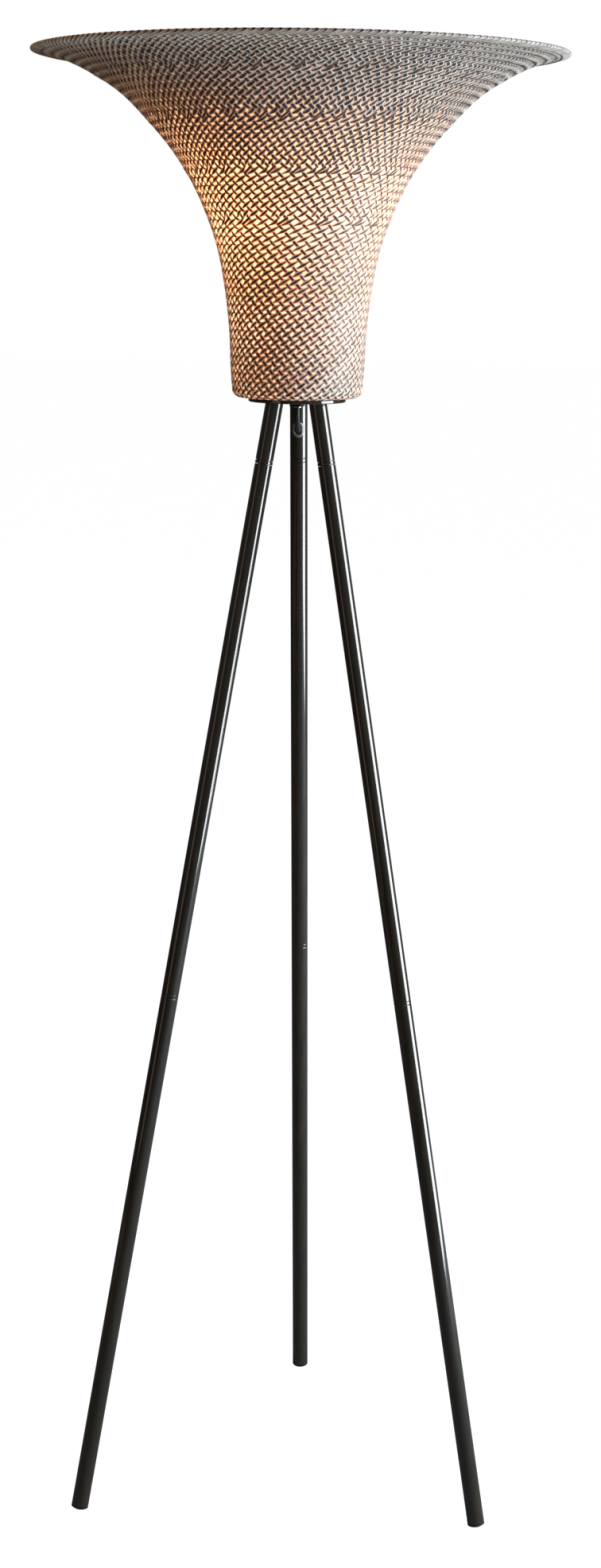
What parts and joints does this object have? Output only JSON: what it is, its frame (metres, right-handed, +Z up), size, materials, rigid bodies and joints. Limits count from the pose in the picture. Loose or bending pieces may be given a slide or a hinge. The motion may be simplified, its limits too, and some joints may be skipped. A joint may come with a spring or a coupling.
{
  "type": "floor lamp",
  "caption": "Floor lamp with a woven cane trumpet shade, open and flared at the top, on a steel plate and a slender tripod of dark tube legs.",
  "frame": {"origin": "on the floor, on the lamp's own axis, under the middle of the shade", "axes": "+Z up along the lamp's axis, +Y towards the rear leg, which holds the lead; +X to the right of someone who looks along +Y"},
  "size_m": [0.5594, 0.5594, 1.5934],
  "materials": {
    "cane": "woven cane, dark skin with pale edges",
    "liner": "stiff translucent film, matt",
    "steel": "gloss bronze-black lacquer",
    "zinc": "zinc plated",
    "black_plastic": "satin",
    "ceramic": "glazed ceramic",
    "brass": "bright",
    "diffuser": "frosted",
    "lead": "satin"
  },
  "bodies": {
    "root": {"shade_weave": "cane", "shade_liner": "liner", "rim_hoop": "zinc", "rim_binding": "cane", "base_plate": "steel", "plate_washer": "zinc", "plate_locknut": "zinc", "threaded_pipe": "zinc", "clamp_disc": "zinc", "spacer_tube": "steel", "lampholder_cap": "black_plastic", "lampholder_shell": "black_plastic", "contact_block": "ceramic", "screw_sleeve": "brass", "bulb_cap": "zinc", "bulb_body": "diffuser", "bulb_dome": "diffuser", "lead": "lead", "rear_leg_stub": "steel", "rear_leg_upper_coupler": "steel", "rear_leg_upper_insert": "zinc", "rear_leg_middle_tube": "steel", "rear_leg_lower_coupler": "steel", "rear_leg_lower_insert": "zinc", "rear_leg_lower_tube": "steel", "rear_leg_foot_plug": "black_plastic", "left_leg_stub": "steel", "left_leg_upper_coupler": "steel", "left_leg_upper_insert": "zinc", "left_leg_middle_tube": "steel", "left_leg_lower_coupler": "steel", "left_leg_lower_insert": "zinc", "left_leg_lower_tube": "steel", "left_leg_foot_plug": "black_plastic", "right_leg_stub": "steel", "right_leg_upper_coupler": "steel", "right_leg_upper_insert": "zinc", "right_leg_middle_tube": "steel", "right_leg_lower_coupler": "steel", "right_leg_lower_insert": "zinc", "right_leg_lower_tube": "steel", "right_leg_foot_plug": "black_plastic", "lead_grommet": "black_plastic", "lead_bushing": "black_plastic"}
  },
  "joints": []
}
